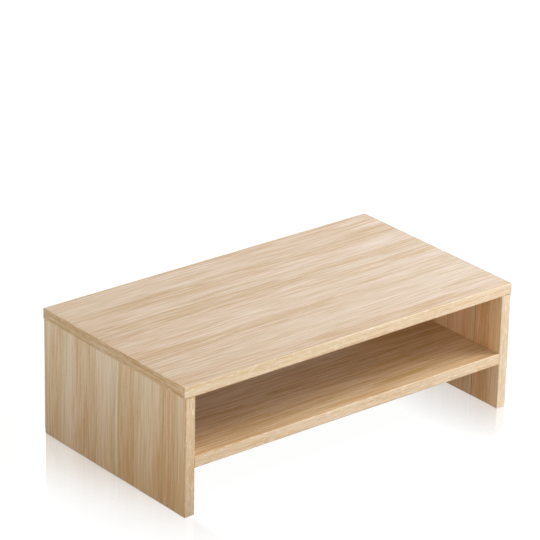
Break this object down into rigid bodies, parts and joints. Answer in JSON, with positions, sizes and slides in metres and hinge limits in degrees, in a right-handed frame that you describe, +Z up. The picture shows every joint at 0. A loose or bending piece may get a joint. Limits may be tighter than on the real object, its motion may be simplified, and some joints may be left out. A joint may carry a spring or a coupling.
{
  "type": "monitor stand",
  "caption": "Low open monitor stand of light wood-grain board: a flat top on solid side panels, with a shelf between them, joined by hidden cam locks.",
  "frame": {"origin": "on the desk surface, under the middle of the stand", "axes": "+X to the right along the width, +Y to the back, +Z up"},
  "size_m": [0.425, 0.235, 0.14],
  "materials": {
    "oak_laminate": "satin printed light oak, melamine faced",
    "oak_edge_band": "satin printed light oak, plastic band",
    "particleboard": "raw pressed wood chips",
    "zinc_cam": "die-cast zinc, satin nickel plated",
    "steel_bolt": "zinc-plated steel",
    "nylon_insert": "natural nylon",
    "beech_dowel": "bare fluted beech"
  },
  "bodies": {
    "stand": {"top_panel_core": "particleboard", "top_panel_upper_laminate": "oak_laminate", "top_panel_lower_laminate": "oak_laminate", "top_panel_front_edge_band": "oak_edge_band", "top_panel_back_edge_band": "oak_edge_band", "top_panel_left_edge_band": "oak_edge_band", "top_panel_right_edge_band": "oak_edge_band", "shelf_core": "particleboard", "shelf_upper_laminate": "oak_laminate", "shelf_lower_laminate": "oak_laminate", "shelf_front_edge_band": "oak_edge_band", "shelf_back_edge_band": "oak_edge_band", "left_panel_core": "particleboard", "left_panel_outer_laminate": "oak_laminate", "left_panel_inner_laminate": "oak_laminate", "left_panel_front_edge_band": "oak_edge_band", "left_panel_back_edge_band": "oak_edge_band", "left_panel_bottom_edge_band": "oak_edge_band", "right_panel_core": "particleboard", "right_panel_outer_laminate": "oak_laminate", "right_panel_inner_laminate": "oak_laminate", "right_panel_front_edge_band": "oak_edge_band", "right_panel_back_edge_band": "oak_edge_band", "right_panel_bottom_edge_band": "oak_edge_band", "cam_bolt_top_left_front": "steel_bolt", "cam_bolt_top_left_back": "steel_bolt", "cam_bolt_top_right_front": "steel_bolt", "cam_bolt_top_right_back": "steel_bolt", "cam_bolt_shelf_left_front": "steel_bolt", "cam_bolt_shelf_left_back": "steel_bolt", "cam_bolt_shelf_right_front": "steel_bolt", "cam_bolt_shelf_right_back": "steel_bolt", "insert_nut_top_left_front": "nylon_insert", "insert_nut_top_left_back": "nylon_insert", "insert_nut_top_right_front": "nylon_insert", "insert_nut_top_right_back": "nylon_insert", "insert_nut_shelf_left_front": "nylon_insert", "insert_nut_shelf_left_back": "nylon_insert", "insert_nut_shelf_right_front": "nylon_insert", "insert_nut_shelf_right_back": "nylon_insert", "dowel_top_left_front": "beech_dowel", "dowel_top_left_back": "beech_dowel", "dowel_top_right_front": "beech_dowel", "dowel_top_right_back": "beech_dowel", "dowel_shelf_left_front": "beech_dowel", "dowel_shelf_left_back": "beech_dowel", "dowel_shelf_right_front": "beech_dowel", "dowel_shelf_right_back": "beech_dowel"},
    "top_left_front_cam": {"cam_lock_top_left_front": "zinc_cam"},
    "top_left_back_cam": {"cam_lock_top_left_back": "zinc_cam"},
    "top_right_front_cam": {"cam_lock_top_right_front": "zinc_cam"},
    "top_right_back_cam": {"cam_lock_top_right_back": "zinc_cam"},
    "shelf_left_front_cam": {"cam_lock_shelf_left_front": "zinc_cam"},
    "shelf_left_back_cam": {"cam_lock_shelf_left_back": "zinc_cam"},
    "shelf_right_front_cam": {"cam_lock_shelf_right_front": "zinc_cam"},
    "shelf_right_back_cam": {"cam_lock_shelf_right_back": "zinc_cam"}
  },
  "joints": [
    {"name": "top_left_front_cam_turn", "type": "hinge", "parent": "stand", "child": "top_left_front_cam", "pos_m": [-0.2, -0.048, 0.104], "axis": [1, 0, 0], "range_deg": [0, 180]},
    {"name": "top_left_back_cam_turn", "type": "hinge", "parent": "stand", "child": "top_left_back_cam", "pos_m": [-0.2, 0.048, 0.104], "axis": [1, 0, 0], "range_deg": [0, 180]},
    {"name": "top_right_front_cam_turn", "type": "hinge", "parent": "stand", "child": "top_right_front_cam", "pos_m": [0.2, -0.048, 0.104], "axis": [-1, 0, 0], "range_deg": [0, 180]},
    {"name": "top_right_back_cam_turn", "type": "hinge", "parent": "stand", "child": "top_right_back_cam", "pos_m": [0.2, 0.048, 0.104], "axis": [-1, 0, 0], "range_deg": [0, 180]},
    {"name": "shelf_left_front_cam_turn", "type": "hinge", "parent": "stand", "child": "shelf_left_front_cam", "pos_m": [-0.1755, -0.048, 0.052], "axis": [0, 0, -1], "range_deg": [0, 180]},
    {"name": "shelf_left_back_cam_turn", "type": "hinge", "parent": "stand", "child": "shelf_left_back_cam", "pos_m": [-0.1755, 0.048, 0.052], "axis": [0, 0, -1], "range_deg": [0, 180]},
    {"name": "shelf_right_front_cam_turn", "type": "hinge", "parent": "stand", "child": "shelf_right_front_cam", "pos_m": [0.1755, -0.048, 0.052], "axis": [0, 0, -1], "range_deg": [0, 180]},
    {"name": "shelf_right_back_cam_turn", "type": "hinge", "parent": "stand", "child": "shelf_right_back_cam", "pos_m": [0.1755, 0.048, 0.052], "axis": [0, 0, -1], "range_deg": [0, 180]}
  ]
}
